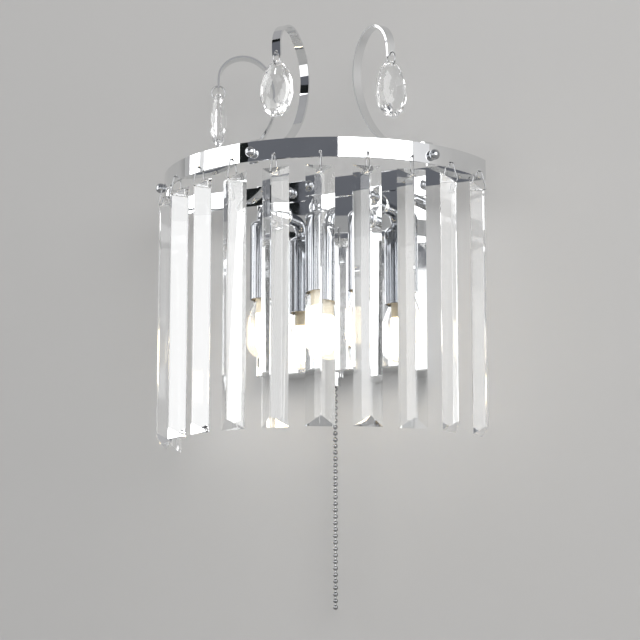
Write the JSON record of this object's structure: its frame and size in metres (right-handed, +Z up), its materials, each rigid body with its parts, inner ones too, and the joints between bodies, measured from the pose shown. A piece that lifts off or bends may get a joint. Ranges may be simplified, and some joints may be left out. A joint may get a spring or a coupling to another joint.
{
  "type": "wall sconce",
  "caption": "Chrome wall light: a D-shaped band hung with crystal prisms, curled strips with crystal drops, downward capsule lamps and a pull-chain switch.",
  "frame": {"origin": "middle of the backplate on the wall, at the centre of the bracket's two screw slots", "axes": "+X to the right seen from the room, +Y into the wall, +Z up"},
  "size_m": [0.2323, 0.137, 0.3756],
  "materials": {
    "chrome": "mirror-polished plating",
    "wire": "bright wire",
    "crystal": "cut and polished crystal",
    "zinc_steel": "zinc plated",
    "brass": "bare brass",
    "terminal_plastic": "moulded",
    "switch_plastic": "moulded",
    "lead_plastic": "extruded sleeve",
    "ceramic": "fired, unglazed",
    "bulb_glass": "clear blown glass",
    "bulb_core": "phosphor-coated rod on a ceramic base"
  },
  "bodies": {
    "fixture": {"backplate": "chrome", "wall_bracket": "zinc_steel", "side_screws": "chrome", "terminal_block": "terminal_plastic", "earth_screw": "brass", "inner_leads": "lead_plastic", "band_frame": "chrome", "ball_nuts": "chrome", "band_screws": "zinc_steel", "bar_screws": "zinc_steel", "arm_collars": "chrome", "arm_nuts": "zinc_steel", "switch_body": "switch_plastic", "switch_bush": "chrome", "switch_locknut": "chrome", "lamp_arm_left": "chrome", "lamp_sleeve_left": "chrome", "lampholder_left": "ceramic", "bulb_left": "bulb_glass", "bulb_core_left": "bulb_core", "lamp_arm_right": "chrome", "lamp_sleeve_right": "chrome", "lampholder_right": "ceramic", "bulb_right": "bulb_glass", "bulb_core_right": "bulb_core", "scroll_left": "chrome", "scroll_front": "chrome", "scroll_right": "chrome"},
    "prism_01_hung": {"prism_01": "crystal", "prism_clip_01": "wire"},
    "prism_02_hung": {"prism_02": "crystal", "prism_clip_02": "wire"},
    "prism_03_hung": {"prism_03": "crystal", "prism_clip_03": "wire"},
    "prism_04_hung": {"prism_04": "crystal", "prism_clip_04": "wire"},
    "prism_05_hung": {"prism_05": "crystal", "prism_clip_05": "wire"},
    "prism_06_hung": {"prism_06": "crystal", "prism_clip_06": "wire"},
    "prism_07_hung": {"prism_07": "crystal", "prism_clip_07": "wire"},
    "prism_08_hung": {"prism_08": "crystal", "prism_clip_08": "wire"},
    "prism_09_hung": {"prism_09": "crystal", "prism_clip_09": "wire"},
    "prism_10_hung": {"prism_10": "crystal", "prism_clip_10": "wire"},
    "prism_11_hung": {"prism_11": "crystal", "prism_clip_11": "wire"},
    "prism_12_hung": {"prism_12": "crystal", "prism_clip_12": "wire"},
    "drop_left_hung": {"drop_left": "crystal", "drop_ring_left": "wire"},
    "drop_front_hung": {"drop_front": "crystal", "drop_ring_front": "wire"},
    "drop_right_hung": {"drop_right": "crystal", "drop_ring_right": "wire"},
    "chain": {"pull_chain": "wire"}
  },
  "joints": [
    {"name": "prism_01_swing", "type": "hinge", "parent": "fixture", "child": "prism_01_hung", "pos_m": [-0.11079, -0.03359, 0.0545], "axis": [-0.1305, 0.9914, 0], "range_deg": [-12, 25]},
    {"name": "prism_02_swing", "type": "hinge", "parent": "fixture", "child": "prism_02_hung", "pos_m": [-0.10324, -0.06177, 0.0545], "axis": [-0.3827, 0.9239, 0], "range_deg": [-12, 25]},
    {"name": "prism_03_swing", "type": "hinge", "parent": "fixture", "child": "prism_03_hung", "pos_m": [-0.08866, -0.08703, 0.0545], "axis": [-0.6088, 0.7934, 0], "range_deg": [-12, 25]},
    {"name": "prism_04_swing", "type": "hinge", "parent": "fixture", "child": "prism_04_hung", "pos_m": [-0.06803, -0.10766, 0.0545], "axis": [-0.7934, 0.6088, 0], "range_deg": [-12, 25]},
    {"name": "prism_05_swing", "type": "hinge", "parent": "fixture", "child": "prism_05_hung", "pos_m": [-0.04276, -0.12224, 0.0545], "axis": [-0.9239, 0.3827, 0], "range_deg": [-12, 25]},
    {"name": "prism_06_swing", "type": "hinge", "parent": "fixture", "child": "prism_06_hung", "pos_m": [-0.01459, -0.12979, 0.0545], "axis": [-0.9914, 0.1305, 0], "range_deg": [-12, 25]},
    {"name": "prism_07_swing", "type": "hinge", "parent": "fixture", "child": "prism_07_hung", "pos_m": [0.01459, -0.12979, 0.0545], "axis": [-0.9914, -0.1305, 0], "range_deg": [-12, 25]},
    {"name": "prism_08_swing", "type": "hinge", "parent": "fixture", "child": "prism_08_hung", "pos_m": [0.04276, -0.12224, 0.0545], "axis": [-0.9239, -0.3827, 0], "range_deg": [-12, 25]},
    {"name": "prism_09_swing", "type": "hinge", "parent": "fixture", "child": "prism_09_hung", "pos_m": [0.06803, -0.10766, 0.0545], "axis": [-0.7934, -0.6088, 0], "range_deg": [-12, 25]},
    {"name": "prism_10_swing", "type": "hinge", "parent": "fixture", "child": "prism_10_hung", "pos_m": [0.08866, -0.08703, 0.0545], "axis": [-0.6088, -0.7934, 0], "range_deg": [-12, 25]},
    {"name": "prism_11_swing", "type": "hinge", "parent": "fixture", "child": "prism_11_hung", "pos_m": [0.10324, -0.06177, 0.0545], "axis": [-0.3827, -0.9239, 0], "range_deg": [-12, 25]},
    {"name": "prism_12_swing", "type": "hinge", "parent": "fixture", "child": "prism_12_hung", "pos_m": [0.11079, -0.03359, 0.0545], "axis": [-0.1305, -0.9914, 0], "range_deg": [-12, 25]},
    {"name": "drop_left_swing", "type": "hinge", "parent": "fixture", "child": "drop_left_hung", "pos_m": [-0.07215, -0.04766, 0.13143], "axis": [-0.5, 0.866, 0], "range_deg": [-15, 25]},
    {"name": "drop_front_swing", "type": "hinge", "parent": "fixture", "child": "drop_front_hung", "pos_m": [-0.00197, -0.09581, 0.13225], "axis": [-1, 0, 0], "range_deg": [-15, 25]},
    {"name": "drop_right_swing", "type": "hinge", "parent": "fixture", "child": "drop_right_hung", "pos_m": [0.06357, -0.06252, 0.13205], "axis": [-0.5, -0.866, 0], "range_deg": [-15, 25]},
    {"name": "chain_pull", "type": "slide", "parent": "fixture", "child": "chain", "axis": [0, 0, -1], "range_m": [0, 0.006], "stiffness_N_per_m": 600, "springref_m": -0.004}
  ]
}
